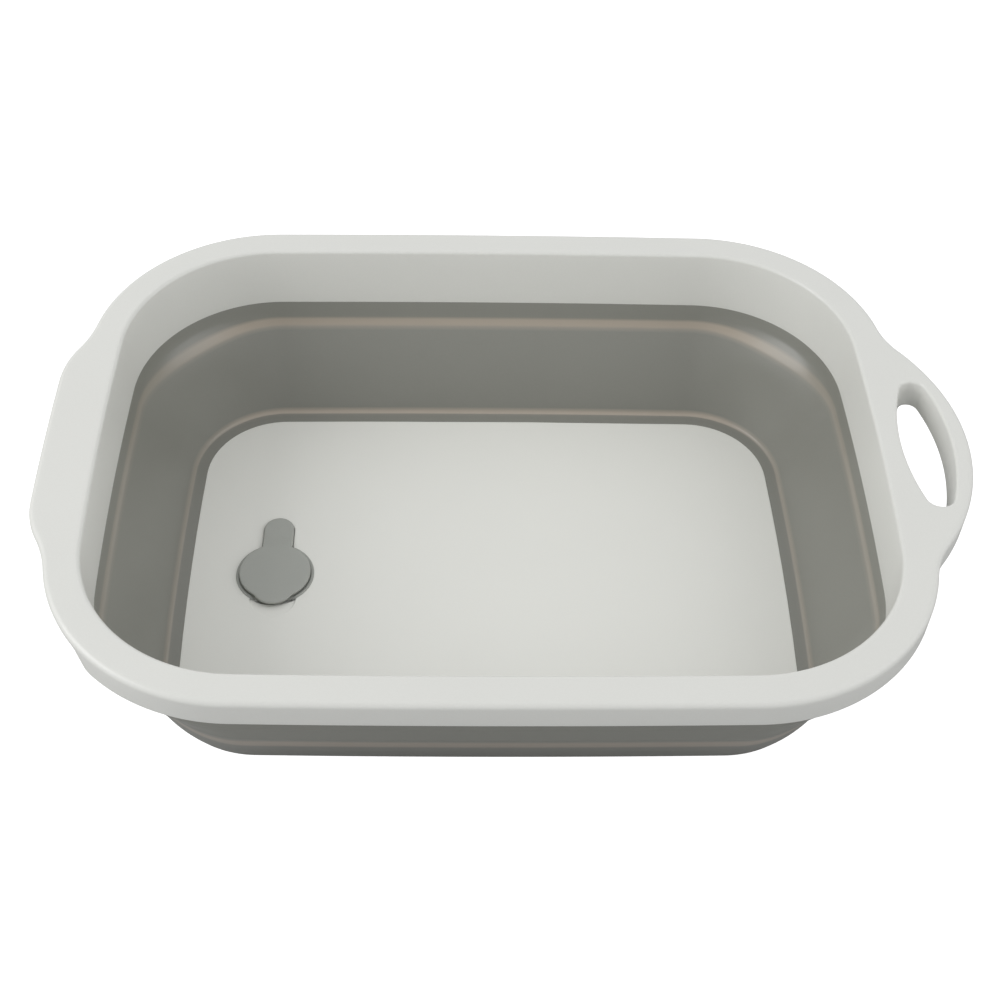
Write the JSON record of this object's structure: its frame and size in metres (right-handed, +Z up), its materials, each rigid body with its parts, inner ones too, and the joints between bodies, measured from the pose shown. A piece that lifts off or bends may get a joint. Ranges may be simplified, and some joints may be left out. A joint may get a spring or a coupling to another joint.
{
  "type": "folding pet bathtub",
  "caption": "Shallow oblong tub with a rigid rim, a grip loop and a grip tab, an elastic wall that folds flat, and a floor with a hinged drain plug.",
  "frame": {"origin": "bottom centre of the whole tub, on the plane its feet stand on", "axes": "+X runs lengthwise from the solid grip tab to the grip loop, +Y across towards the plug's strap, +Z up"},
  "size_m": [0.5106, 0.362, 0.118],
  "materials": {
    "rim_plastic": "satin polypropylene, warm white",
    "wall_elastomer": "satin thermoplastic elastomer, warm grey",
    "floor_plastic": "fine matte polypropylene, warm white",
    "plug_elastomer": "matte elastomer, grey",
    "foot_elastomer": "matte elastomer, grey"
  },
  "bodies": {
    "rim": {"rim_frame": "rim_plastic", "wall_upper_band": "wall_elastomer"},
    "fold": {"wall_fold_panel": "wall_elastomer"},
    "base": {"wall_lower_ring": "wall_elastomer", "floor_plate": "floor_plastic", "drain_seat_ring": "plug_elastomer", "plug_strap": "plug_elastomer", "foot_back_right": "foot_elastomer", "foot_back_left": "foot_elastomer", "foot_front_left": "foot_elastomer", "foot_front_right": "foot_elastomer"},
    "plug": {"drain_plug": "plug_elastomer"}
  },
  "joints": [
    {"name": "floor_fold", "type": "slide", "parent": "rim", "child": "base", "axis": [0, 0, 1], "range_m": [0, 0.1056]},
    {"name": "wall_fold", "type": "slide", "parent": "rim", "child": "fold", "axis": [0, 0, 1], "range_m": [0, 0.0528]},
    {"name": "plug_lift", "type": "hinge", "parent": "base", "child": "plug", "pos_m": [-0.1366, 0.0149, 0.0112], "axis": [-1, 0, 0], "range_deg": [0, 150]}
  ],
  "couplings": [
    {"joint": "wall_fold", "follows": "floor_fold", "ratio": 0.5}
  ]
}
